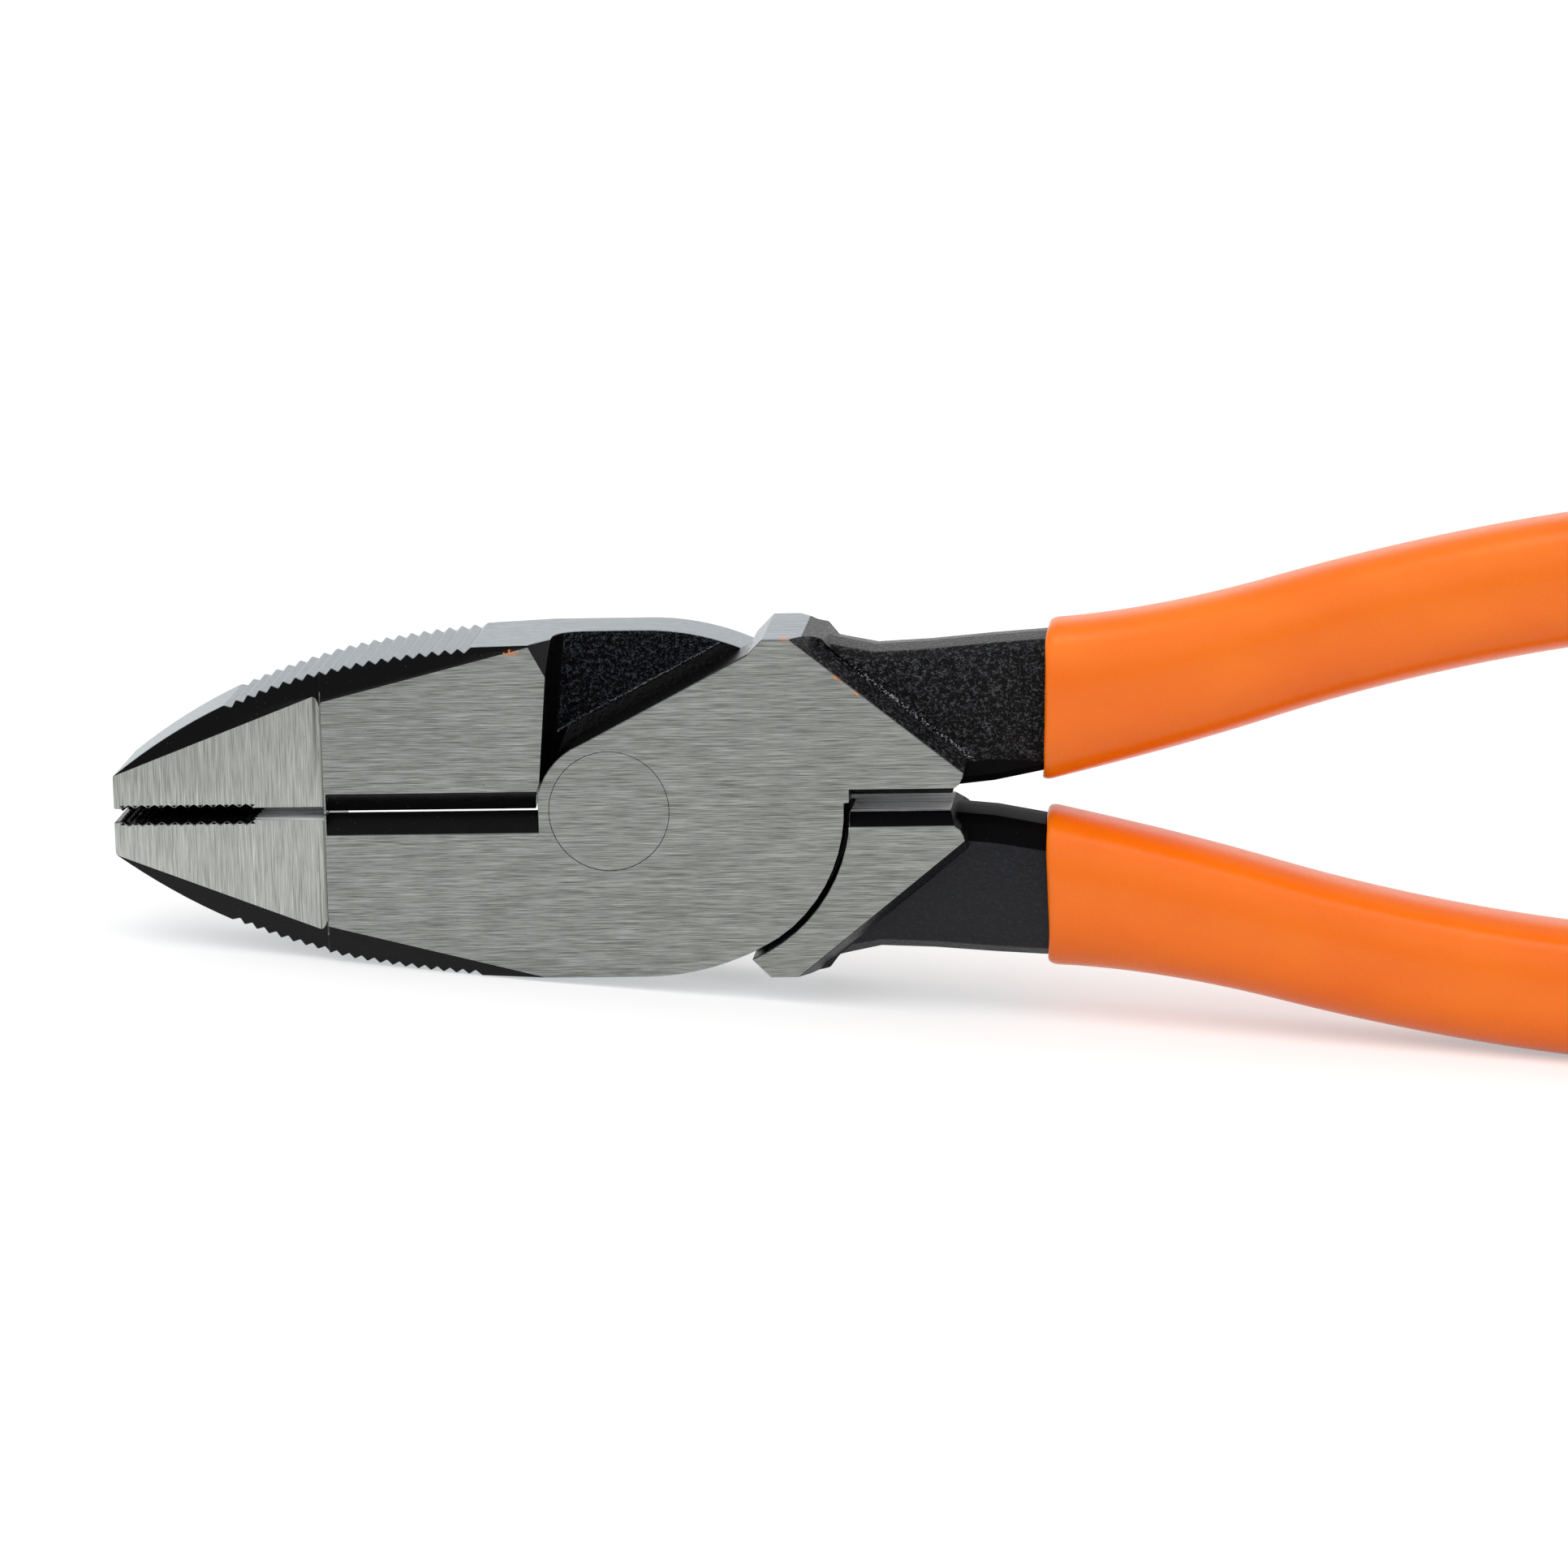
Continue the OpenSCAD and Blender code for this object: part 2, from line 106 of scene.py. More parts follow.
# %% One class for sockets
class Wire:
    def __init__(self, tree, socket=None):
        self.tree = tree
        self.socket = socket

    def node(self, kind, inputs=(), out=0, **settings):
        """A new node: its settings first, then its sockets, each a link or a value."""
        made = self.tree.nodes.new(kind)
        for name, value in settings.items():
            setattr(made, name, value)
        pairs = inputs.items() if isinstance(inputs, dict) else enumerate(inputs)
        for key, value in pairs:
            if isinstance(value, Wire):
                self.tree.links.new(value.socket, made.inputs[key])
            elif value is not None:
                made.inputs[key].default_value = value
        return Wire(self.tree, made.outputs[out] if made.outputs else None)

    def math(self, operation, *others):
        return self.node("ShaderNodeMath", (self, *others), operation=operation)

    def after(self, operation, other):
        """The same with the two the other way round, as in 1 - mask."""
        return self.node("ShaderNodeMath", (other, self), operation=operation)

    def __add__(self, other):
        return self.math("ADD", other)

    def __sub__(self, other):
        return self.math("SUBTRACT", other)

    def __rsub__(self, other):
        return self.after("SUBTRACT", other)

    def __mul__(self, other):
        return self.math("MULTIPLY", other)

    def __truediv__(self, other):
        return self.math("DIVIDE", other)

    def __rtruediv__(self, other):
        return self.after("DIVIDE", other)

    def __pow__(self, other):
        return self.math("POWER", other)

    def __rpow__(self, other):
        return self.after("POWER", other)

    def __gt__(self, other):
        return self.math("GREATER_THAN", other)

    def __lt__(self, other):
        return self.math("LESS_THAN", other)

    __radd__ = __add__
    __rmul__ = __mul__

    def clamped(self, low=0.0, high=1.0):
        return self.math("MAXIMUM", low).math("MINIMUM", high)

    def rise(self, start, end):
        """0 before start, 1 after end, straight between them."""
        return ((self - start) / (end - start)).clamped()

    def hump(self, centre, width):
        """1 at the centre, falling to 0 at one width from it."""
        return (1.0 - (self - centre).math("ABSOLUTE") / width).clamped()

    def xyz(self):
        """The three numbers of a vector."""
        return [self.node("ShaderNodeSeparateXYZ", (self,), out=i) for i in range(3)]

# %% [markdown]
# A colour is easiest to choose as the screen shows it, from 0 to 255, but a shader
# counts light, so `shade` turns one into the other. `between` and `mixed` blend two
# numbers and two colours. Colours need a Mix node, because a Math node makes them grey.

# %% Colours and blends
def light_of(value):
    """A screen value from 0 to 255 as an amount of light."""
    return ((value / 255 + 0.055) / 1.055) ** 2.4 if value > 10 else value / 255 / 12.92


def shade(r, g, b):
    """A shader's colour from three screen values."""
    return (light_of(r), light_of(g), light_of(b), 1.0)


def between(x, start, end, at_start, at_end):
    """Goes from at_start to at_end while x goes from start to end."""
    return x.rise(start, end) * (at_end - at_start) + at_start


def mixed(factor, at_0, at_1):
    """at_0 where the factor is 0, at_1 where it is 1."""
    # A Mix node's sockets 6 and 7 are its two colours, and output 2 is their blend
    return factor.node("ShaderNodeMix", {0: factor, 6: at_0, 7: at_1}, out=2, data_type="RGBA")


print("a screen value of 128 is", round(light_of(128), 3), "of white's light")

# %% [markdown]
# ## Materials
# Every finish is a Principled shader. Numbers that are the same all over are set on the
# shader's own sockets. What changes over the surface, such as grain, comes from a
# pattern function, which gets the tool's own coordinates in millimetres. A Mapping node
# of type Texture undoes the piece's place, so that grain runs along the tool. An image
# would need every face unwrapped. A pattern in space needs nothing but the coordinates.

# %% A material from its pattern and its constants
def material(name, pattern, **constants):
    """A Principled shader with its constants set and its pattern linked."""
    made = bpy.data.materials.new(name)
    made.use_nodes = True
    tree = made.node_tree
    tree.nodes.clear()
    start = Wire(tree)
    place = start.node("ShaderNodeTexCoord", out="Object")
    # A Mapping node's sockets are 0 vector, 1 place, 2 turn and 3 scale
    to_row = {0: place, 1: tuple(pivot), 2: (0, -tilt, 0), 3: (MM, MM, MM)}
    tool = start.node("ShaderNodeMapping", to_row, vector_type="TEXTURE")
    sockets = {key.replace("_", " "): value for key, value in constants.items()}
    sockets.update(pattern(tool))
    shader = start.node("ShaderNodeBsdfPrincipled", sockets)
    start.node("ShaderNodeOutputMaterial", (shader,))
    return made


def noise(place, scale, detail, seed=0.0):
    """Noise from 0 to 1, mostly near a half, scaled along each axis, per millimetre."""
    spread = place.node("ShaderNodeMapping", {0: place, 1: (seed, seed, seed), 3: scale})
    inputs = {"Vector": spread, "Scale": 1.0, "Detail": detail, "Roughness": 0.6}
    return place.node("ShaderNodeTexNoise", inputs)


def bump(height, depth):
    """A surface that rises by depth millimetres where height is 1."""
    return height.node("ShaderNodeBump", {"Height": height, "Distance": depth * MM})

# %% [markdown]
# Where the grips were dipped, a few orange flecks strayed onto the corners of the head.
# Modelled, they would be hundreds of dots, so they are only a colour. They lie near a
# few places on the front, so each place is a soft spot, and noise breaks the spots up.

# %% Overspray
ORANGE = shade(252, 134, 48)
# Each place: x, z, half its width and half its height
SPRAYED = (
    (-8.6, 15.2, 1.6, 0.7),
    (16.9, 16.0, 1.3, 0.35),
    (21.9, 12.5, 1.2, 1.2),
    (23.7, 11.1, 1.0, 1.0),
)
SPRAYED_FRONT = -6.0


def overspray(tool):
    """1 on the flecks."""
    x, y, z = tool.xyz()
    near = 0.0
    for at_x, at_z, wide, high in SPRAYED:
        near = x.hump(at_x, wide) * z.hump(at_z, high) + near
    speck = noise(tool, (4.0, 4.0, 4.0), 2.0, seed=9.0)
    flecks = (speck + near * 0.3).rise(0.74, 0.77)
    return flecks * (near > 0.05) * (y < SPRAYED_FRONT)


print("places with overspray:", len(SPRAYED))

# %% [markdown]
# The faces of the head are ground on a belt, which leaves fine straight lines. Stretched
# noise draws them: long along the belt's travel and very short across it. Two layers
# make fine lines and broader streaks, and a third leaves a few dark pits. The nose is
# ground across, on a narrow wheel, so the same function takes the direction as an
# argument. The wheel runs out at the nose's bevel, and what lies past that line keeps
# its black paint.

# %% Ground steel
# Noise per millimetre across the lines, along them, and into the steel
FINE, LONG, DEEP = 24.0, 0.4, 0.8
ALONG_X = (LONG, DEEP, FINE)
ALONG_Z = (FINE, DEEP, LONG)
ALONG_EDGE = (LONG, FINE, FINE)
NOSE_SLOPE, NOSE_RISE = 0.382, 21.95
BLACK = shade(9, 9, 11)


def past_nose(tool):
    """1 outside the line where the wheel ran out."""
    x, _, z = tool.xyz()
    outside = z.math("ABSOLUTE") - x * NOSE_SLOPE > NOSE_RISE
    return outside * (x < nose_x + 0.05)


def ground(dark, light, grain, roughness=0.36, painted=None):
    def pattern(tool):
        fine = noise(tool, grain, 3.0)
        broad = noise(tool, tuple(0.5 * g for g in grain), 2.0, seed=7.3)
        streak = (fine * 0.6 + broad * 0.4).rise(0.37, 0.63)
        pits = noise(tool, (5.0, 1.0, 5.0), 1.0, seed=3.1).rise(0.78, 0.8)
        tone = mixed(streak, dark, light)
        if painted:
            tone = mixed(painted(tool), tone, BLACK)
        pitted = mixed(pits * 0.5, tone, shade(60, 58, 54))
        return {"Base Color": mixed(overspray(tool), pitted, ORANGE),
                "Roughness": streak * -0.1 + (roughness + 0.05),
                "Normal": bump(streak, 0.004)}
    return pattern


face_grain = ground(shade(96, 98, 94), shade(178, 181, 177), ALONG_X)
nose_grain = ground(shade(140, 142, 138), shade(198, 200, 195), ALONG_Z, painted=past_nose)
# The edge's lighter, bluer tone is a painted reflection of the overhead light; its grain runs along the edge.
edge_grain_and_sheen = ground(shade(126, 135, 141), shade(186, 196, 202), ALONG_EDGE, roughness=0.3)
ground_face = material("ground_face", face_grain, Metallic=1.0)
ground_nose = material("ground_nose", nose_grain, Metallic=1.0)
ground_edge = material("ground_edge", edge_grain_and_sheen, Metallic=1.0)
print("ground finishes:", ground_face.name, ground_nose.name, ground_edge.name)

# %% [markdown]
# The rest of the forging is dipped in black paint. On machined bevels it dries smooth
# and glossy, with a little dust in it. On the inner sides of the handles, which face
# each other, it is dull and nearly black, so that material has almost no specular.

# %% Black paint, smooth and dull
def smooth_paint(tool):
    film = noise(tool, (0.5, 0.5, 0.5), 2.0)
    specks = noise(tool, (5.0, 5.0, 5.0), 1.0, seed=5.0).rise(0.74, 0.77)
    body = mixed(specks, BLACK, shade(60, 60, 62))
    return {"Base Color": mixed(overspray(tool), body, ORANGE),
            "Roughness": film * 0.2 + 0.1,
            "Normal": bump(film + specks * 0.2, 0.02)}


def inner_paint(tool):
    specks = noise(tool, (5.0, 5.0, 5.0), 1.0, seed=5.0).rise(0.74, 0.77)
    return {"Base Color": mixed(specks, shade(8, 8, 10), shade(40, 40, 42))}


gloss_black = material("gloss_black", smooth_paint, Specular_IOR_Level=0.2)
inner_black = material("inner_black", inner_paint, Roughness=0.5, Specular_IOR_Level=0.04)
print("smooth paints:", gloss_black.name, inner_black.name)

# %% [markdown]
# On the forged handles the scale under the paint shows as fine wrinkles. The light that
# their crests catch is painted in as a lighter colour. Along two lines bright bare steel is
# laid, partly worn paint and partly a painted glint: at the foot of the ramp between head
# and handle, and on the corner beside the lower handle's land. A painted mask would tie
# these lines to one mesh, so each line is a formula: the distance from a straight line
# through two points.

# %% Black paint over rough forging
RAMP_TOP, RAMP_END = Vector((20.1, 13.9)), Vector((33.4, 3.2))
LAND_END, LAND_ON = Vector((33.9, -1.8)), Vector((41.6, -4.3))
RAMP_OFF, RAMP_WIDE = 1.15, 0.35
LAND_WIDE = 0.3
# Where along the tool each line comes up and where it dies out
RAMP_UP, RAMP_OUT = (22.0, 24.0), (34.0, 35.0)
LAND_UP, LAND_OUT = (33.5, 34.5), (40.0, 42.0)
# The lower handle is nearly smooth and the upper one rough
LOWER_Z, UPPER_Z = -1.0, 1.0
LOWER_ROUGH, UPPER_ROUGH = 0.12, 1.0


def off_line(x, z, start, end):
    """Millimetres from the line through two points, to its left."""
    along = (end - start).normalized()
    out_x, out_z = -along.y, along.x
    return (x - start.x) * out_x + (z - start.y) * out_z


def forged_paint(tool):
    x, _, z = tool.xyz()
    rough = between(z, LOWER_Z, UPPER_Z, LOWER_ROUGH, UPPER_ROUGH)
    wrinkle = noise(tool, (2.2, 2.6, 2.6), 4.0)
    fine = noise(tool, (5.0, 6.0, 6.0), 2.0, seed=2.0)
    along_ramp = x.rise(*RAMP_UP) * (1.0 - x.rise(*RAMP_OUT))
    along_land = x.rise(*LAND_UP) * (1.0 - x.rise(*LAND_OUT))
    ramp = off_line(x, z, RAMP_TOP, RAMP_END).hump(RAMP_OFF, RAMP_WIDE) * along_ramp
    land = off_line(x, z, LAND_END, LAND_ON).hump(0.0, LAND_WIDE) * along_land
    # Bare bright steel along the two lines: partly worn paint, partly a painted glint.
    wear_and_glint = ((ramp + land) * fine.rise(0.5, 0.62)).rise(0.3, 0.6)
    # The wrinkles' crests are painted lighter, as their highlights.
    crest_highlight = (wrinkle * 0.5 + fine * 0.5).rise(0.5, 0.64)
    wrinkle_highlights = mixed(crest_highlight, shade(1, 1, 2), shade(86, 88, 93))
    # The lower handle's plain dark grey is lighter than its black paint: the paint's sheen is painted into it.
    body = mixed(rough, shade(28, 29, 34), wrinkle_highlights)
    return {"Base Color": mixed(wear_and_glint, body, shade(210, 216, 220)),
            "Metallic": wear_and_glint,
            "Roughness": wrinkle * 0.2 + 0.15,
            "Normal": bump((wrinkle * 0.7 + fine * 0.3) * rough, 0.8)}


forged_black = material("forged_black", forged_paint, Specular_IOR_Level=0.2)
print("worn lines on", forged_black.name, "from x", RAMP_UP[0], "and", LAND_UP[0])

# %% [markdown]
# The face that the laps turn on shows beside the front lap's edge. There the cutter left
# a smooth strip, then a ridge, and past it the rough forging, all under paint. The ridge's
# glints and the forging's lighter crests are painted highlights. So the pattern follows the
# distance from the lap's edge, made to wander a little.

# %% Black paint on the lap's face
LAP_TURN, LAP_EDGE = math.radians(27.5), 6.9
RIDGE_OFF, RIDGE_WIDE = 1.3, 0.16


def lap_paint(tool):
    x, _, z = tool.xyz()
    off_lap = z.math("ABSOLUTE") * math.cos(LAP_TURN) - x * math.sin(LAP_TURN) - LAP_EDGE
    wrinkle = noise(tool, (2.2, 2.2, 2.2), 4.0)
    fine = noise(tool, (6.0, 6.0, 6.0), 2.0, seed=2.0)
    wander = (wrinkle - 0.5) * 0.5
    ridge = (off_lap + wander).hump(RIDGE_OFF, RIDGE_WIDE)
    rough = (off_lap + wander).rise(RIDGE_OFF - 0.1, RIDGE_OFF + 0.2)
    # Painted highlight: broken glints along the ridge.
    glint = ridge * fine.rise(0.42, 0.6)
    # The forging's crests are painted lighter, as their highlights.
    crest_highlight = (wrinkle * 0.5 + fine * 0.5).rise(0.5, 0.64) * rough
    body = mixed(crest_highlight, shade(5, 5, 8), shade(82, 86, 95))
    return {"Base Color": mixed(glint, body, shade(150, 155, 162)),
            "Metallic": glint * 0.6,
            "Roughness": wrinkle * rough * 0.2 + 0.14,
            "Normal": bump(wrinkle * (rough * 0.94 + 0.06) + ridge * 0.4, 0.9)}


lap_black = material("lap_black", lap_paint, Specular_IOR_Level=0.15)
print("ridge on", lap_black.name, RIDGE_OFF, "mm from the lap's edge")

# %% [markdown]
# The inner edge of each handle's root is left as the saw cut it: stripes along the tool on
# dark steel. The bare steel's sheen on them is painted in as near-white stripes on a dull,
# non-metal surface. The vinyl of the grips is a bright orange skin with a very faint orange peel.

# %% Sawn land and vinyl
def sawn(tool):
    # Saw marks along the tool; their near-white is the bare steel's sheen, painted into the colour.
    saw_marks_and_sheen = noise(tool, (0.06, 3.0, 3.0), 3.0, seed=1.0).rise(0.38, 0.5)
    return {"Base Color": mixed(saw_marks_and_sheen, shade(96, 100, 108), shade(252, 254, 255)),
            "Normal": bump(saw_marks_and_sheen, 0.03)}


def vinyl(tool):
    cloud = noise(tool, (0.08, 0.12, 0.12), 2.0)
    peel = noise(tool, (0.9, 0.9, 0.9), 2.0, seed=4.0)
    return {"Base Color": mixed(cloud.rise(0.3, 0.7), shade(246, 112, 6), shade(252, 122, 10)),
            "Roughness": peel * 0.12 + 0.22,
            "Normal": bump(peel, 0.015)}


sawn_land = material("sawn_land", sawn, Roughness=0.48)
orange_vinyl = material("orange_vinyl", vinyl, Specular_IOR_Level=0.4)
print("paint, land and vinyl:", len(bpy.data.materials), "materials so far")

# %% [markdown]
# ## The two forged halves
# Both halves are one forging, one of them turned over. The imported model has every
# face of it but knife-sharp edges, and on a real tool every edge has a small radius
# that catches the light. Modelling the forging again would risk its sizes, so each
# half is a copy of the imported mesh: its loose triangles are merged, flat areas are
# joined into single faces, and the edges get a bevel. A half is dressed in its own
# frame, jaw below and handle above with the lap in front, so that one set of rules
# finds the same faces on both.

# %% A clean copy of a packed half
WELD = 0.04
NEARLY_FLAT = math.radians(0.5)


def forging(node, turn):
    """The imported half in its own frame, with its triangles joined into faces."""
    shape = bmesh.new()
    shape.from_mesh(frame["nodes"][node].data)
    shape.transform(turn @ to_tool)
    bmesh.ops.remove_doubles(shape, verts=shape.verts, dist=WELD)
    bmesh.ops.dissolve_limit(shape, angle_limit=NEARLY_FLAT,
                             verts=shape.verts, edges=shape.edges)
    print(node, "cleaned to", len(shape.verts), "corners and", len(shape.faces), "faces")
    return shape

# %% [markdown]
# Which finish a face has follows from where it looks and where it is. The sides of the
# head are ground, and so is the outer edge with its knurl. The nose is ground a second
# time, deeper. What lies in a recess keeps its paint.

# %% The finish of each face
FINISHES = [ground_face, ground_nose, ground_edge, gloss_black, forged_black, sawn_land,
            lap_black, inner_black]
FACE, NOSE, EDGE, GLOSS, FORGED, SAWN, LAP, INNER = range(8)
# Along the tool: the shoulder's wall, the lug, the rough forging, the land, the inner side
WALL_X = (-8, -5)
LUG_X = (11, 18.5)
ROUGH_X = 18
LAND_X = 20
INNER_X = (8, 42)
# Across the tool: the lug's ramp, the jaw's outer edge, the two lands and the inner side
RAMP_Z = 12
JAW_EDGE_Z = -3.5
LAND_Z = (0.2, 0.8)
BITE_Z = (-0.7, -0.5)
INNER_Z = (0.3, 4)


def finish_of(face):
    """The finish that fits where the face looks (n) and where it is (c)."""
    n, c = face.normal, face.calc_center_median()
    flat = abs(n.y) > 0.99
    upright = abs(n.y) < 0.1
    beside_wall = abs(n.y) > 0.75 and abs(c.y) < 1.5 and WALL_X[0] < c.x < 0
    # The sides of the head, and the nose's own sides a step lower
    if flat and abs(c.y) > face_y - 0.1:
        return FACE
    if c.x < nose_x + 0.02 and abs(c.y) > nose_y - 0.1:
        if flat or n.x < -0.15 and not upright:
            return NOSE
    # The face in mid-thickness that the laps turn on
    if flat and abs(c.y) < 1 or beside_wall:
        return LAP
    # The outer edges of lug and jaw. The walls that end them keep their paint
    if upright and c.x < LUG_X[1] and (c.z > lug_z - 0.5 or c.z < JAW_EDGE_Z and n.z < 0.5):
        walled = n.x < -0.98 or WALL_X[0] < c.x < WALL_X[1] and n.x > 0.5
        return GLOSS if walled else EDGE
    if upright and LUG_X[0] < c.x < LUG_X[1] and c.z > RAMP_Z and n.x < -0.5:
        return EDGE
    # The lands that face each other when the tool is closed, of handles and jaws
    if n.z < -0.9 and LAND_Z[0] < c.z < LAND_Z[1] and c.x > LAND_X:
        return SAWN
    if n.z > 0.9 and BITE_Z[0] < c.z < BITE_Z[1] and teeth_x[1] < c.x < nose_x:
        return SAWN
    # The handle: its inner side, then the rest
    if n.z < -0.3 and INNER_X[0] < c.x < INNER_X[1] and INNER_Z[0] < c.z < INNER_Z[1]:
        return INNER
    if c.x > ROUGH_X and c.z > LAND_Z[1] and n.z > -0.95:
        return FORGED
    return GLOSS


def dressed(shape):
    """The shape with a finish on every face."""
    shape.normal_update()
    for face in shape.faces:
        face.material_index = finish_of(face)
        face.smooth = True
    return shape


print("finishes on a half:", len(FINISHES))

# %% [markdown]
# A bevel may only be as wide as its neighbours have room for: the knurl and the teeth
# are fine, and the merged mesh has short edges where two arcs cross. So each sharp
# edge carries a bevel weight, worked out from the shortest edge at its ends. Round the
# rivet's hole the weight is small, because only a hairline shows there.

# %% Room for each edge's rounding
SHARP = math.radians(25)
SHARE_OF_ROOM = 0.35
HAIRLINE = 0.15


def weigh_edges(shape, width):
    """Gives each sharp edge its share of the width, and counts them."""
    weight = shape.edges.layers.float.new("bevel_weight_edge")
    for edge in shape.edges:
        if len(edge.link_faces) != 2 or edge.calc_face_angle(0) < SHARP:
            continue
        room = min(e.calc_length() for v in edge.verts for e in v.link_edges)
        edge[weight] = min(1, SHARE_OF_ROOM * room / width)
        if all(abs(math.hypot(v.co.x, v.co.z) - rivet_r) < 0.2 for v in edge.verts):
            edge[weight] = HAIRLINE
    return sum(edge[weight] > 0 for edge in shape.edges)

# %% [markdown]
# Every piece ends the same way: as a plain mesh on an object at the origin, with its
# place in the mesh. Its modifiers are applied, and then it is hung on the body it rides,
# and the imported piece it stands for is hidden.

# %% A finished piece
def linked(name, mesh):
    """An object for the mesh, in the scene."""
    piece = bpy.data.objects.new(name, mesh)
    bpy.context.scene.collection.objects.link(piece)
    return piece


def settled(piece):
    """The piece with its modifiers applied, as a plain mesh."""
    bpy.context.view_layer.update()
    ready = piece.evaluated_get(bpy.context.evaluated_depsgraph_get())
    mesh = bpy.data.meshes.new_from_object(ready)
    piece.modifiers.clear()
    piece.data = mesh
    return piece


def declared(piece, body, node=None):
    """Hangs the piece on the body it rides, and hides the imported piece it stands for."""
    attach(piece, body)
    if node:
        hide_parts(node)
    low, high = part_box(node) if node else (None, None)
    print(piece.name, "rides", body, "with", len(piece.data.polygons), "faces", low, high)

# %% [markdown]
# The halves are now made one after the other. The bevel modifier follows the weights,
# and Weighted Normal keeps the large ground faces evenly shaded beside their bevels.

# %% Both halves
ROUNDING = 0.14
CREASE = math.radians(35)
for node, body, turn in (("front_half", "front_lever", Matrix()),
                         ("back_half", "back_lever", turned_over)):
    shape = dressed(forging(node, turn))
    rounded = weigh_edges(shape, ROUNDING)
    shape.transform(from_tool @ turn.inverted())
    mesh = bpy.data.meshes.new(node + "_steel")
    shape.to_mesh(mesh)
    shape.free()
    for finish in FINISHES:
        mesh.materials.append(finish)
    mesh.set_sharp_from_angle(angle=CREASE)
    half = linked(node + "_steel", mesh)
    bevel = half.modifiers.new("rounding", "BEVEL")
    bevel.limit_method = "WEIGHT"
    bevel.width = ROUNDING * MM
    bevel.segments = 2
    bevel.use_clamp_overlap = False
    weigh = half.modifiers.new("even shading", "WEIGHTED_NORMAL")
    weigh.keep_sharp = False
    declared(settled(half), body, node)
    print("rounded edges:", rounded)

# %% [markdown]
# ## The teeth
# The gripping faces are cut across both ways, which leaves rows of small pyramids.
# Cutting them out one by one would be slow and would leave a heavy mesh. They repeat,
# so Geometry Nodes instance one pyramid on a grid of points, with a little seeded
# difference in height as worn cutters leave.

# %% A recipe of Geometry Nodes with named inputs
class Recipe:
    def __init__(self, name, **sizes):
        self.tree = bpy.data.node_groups.new(name, "GeometryNodeTree")
        self.tree.interface.new_socket("Mesh", in_out="OUTPUT", socket_type="NodeSocketGeometry")
        self.sizes = sizes
        for size in sizes:
            self.tree.interface.new_socket(size, in_out="INPUT", socket_type="NodeSocketFloat")
        self.start = Wire(self.tree)
        entry = self.tree.nodes.new("NodeGroupInput")
        self.inputs = [Wire(self.tree, entry.outputs[size]) for size in sizes]

    def finished(self, result, finish):
        """Ends the tree: instances made real, and the finish set."""
        whole = result.node("GeometryNodeRealizeInstances", (result,))
        painted = whole.node("GeometryNodeSetMaterial", {"Geometry": whole, "Material": finish})
        painted.node("NodeGroupOutput", (painted,))
        print(self.tree.name, "has", len(self.tree.nodes), "nodes and", len(self.sizes), "inputs")

    def baked(self, name, turn, **changed):
        """A piece with the recipe's plain mesh, put in its place."""
        piece = linked(name, bpy.data.meshes.new(name))
        nodes = piece.modifiers.new("recipe", "NODES")
        nodes.node_group = self.tree
        values = {**self.sizes, **changed}
        for socket in self.tree.interface.items_tree:
            if socket.in_out == "INPUT":
                nodes[socket.identifier] = values[socket.name]
        settled(piece).data.transform(from_tool @ turn)
        return piece

# %% [markdown]
# The pyramids stand on every second point of the grid, in diagonal rows, as the two
# cuts leave them. A cone with four sides is such a pyramid, and its foot is a little
# wider than half the pitch, so that neighbours meet.

# %% The teeth's recipe
PITCH = 1.24
GRID = 21
SIDE = PITCH / 2 * (GRID - 1)
teeth = Recipe("cross_cut_teeth", Length=SIDE, Width=SIDE, Height=PITCH / 2, Base=-0.9)
length, width, height, base = teeth.inputs
rows = teeth.start.node("GeometryNodeMeshGrid", (length, width, GRID, GRID))
index = teeth.start.node("GeometryNodeInputIndex")
even = index.math("MODULO", 2.0) < 0.5
diamond = {"Vertices": 4, "Radius Top": 0.02, "Radius Bottom": PITCH * 0.53, "Depth": 1.0}
pyramid = teeth.start.node("GeometryNodeMeshCone", diamond)
# Sockets 2 and 3 are the least and the most of a plain number
random = teeth.start.node("FunctionNodeRandomValue", {2: 0.7, 3: 1.0, "Seed": 11}, out=1)
grow = teeth.start.node("ShaderNodeCombineXYZ", (1.0, 1.0, random * height))
placed = {"Points": rows, "Selection": even, "Instance": pyramid, "Scale": grow}
cut = rows.node("GeometryNodeInstanceOnPoints", placed)
middle_x = (teeth_x[0] + teeth_x[1]) / 2
shift = teeth.start.node("ShaderNodeCombineXYZ", (middle_x, 0.0, base))
moved = cut.node("GeometryNodeTransform", {"Geometry": cut, "Translation": shift})
teeth.finished(moved, gloss_black)
declared(teeth.baked("front_half_teeth", Matrix()), "front_lever")
declared(teeth.baked("back_half_teeth", turned_over), "back_lever")

# %% [markdown]
# ## The grips
# A dipped grip follows a rule: at every point along the handle its section is a
# rounded box around the handle's middle line, flared at the mouth and domed at the
# end. So Geometry Nodes makes it from a flat grid. The grid's length runs up the
# inner wall, round the lip and down the outside, and its width goes round the section.
# One recipe serves both grips, with the lean of the lip set for each, as no two dips
# end quite alike.

# %% [markdown]
# The middle line changes its slope evenly from station to station: level at the root,
# steepest behind the mouth of the grips, level again in the middle of the handle and a
# little inward at the end. In a formula each span adds its own climb.

# %% The handle's middle line
BEND_X = (20, 34, 62, 116, 194)
BEND_SLOPE = (0, 0.1, 0.29, 0, -0.07)
ROOT_Z = 7.3


def middle(x):
    """The height of the middle line over the tool's axis."""
    height = ROOT_Z
    for i in range(4):
        span = BEND_X[i + 1] - BEND_X[i]
        run = (x - BEND_X[i]).clamped(0, span)
        gain = (BEND_SLOPE[i + 1] - BEND_SLOPE[i]) / span / 2
        height = run * BEND_SLOPE[i] + run * run * gain + height
    return height


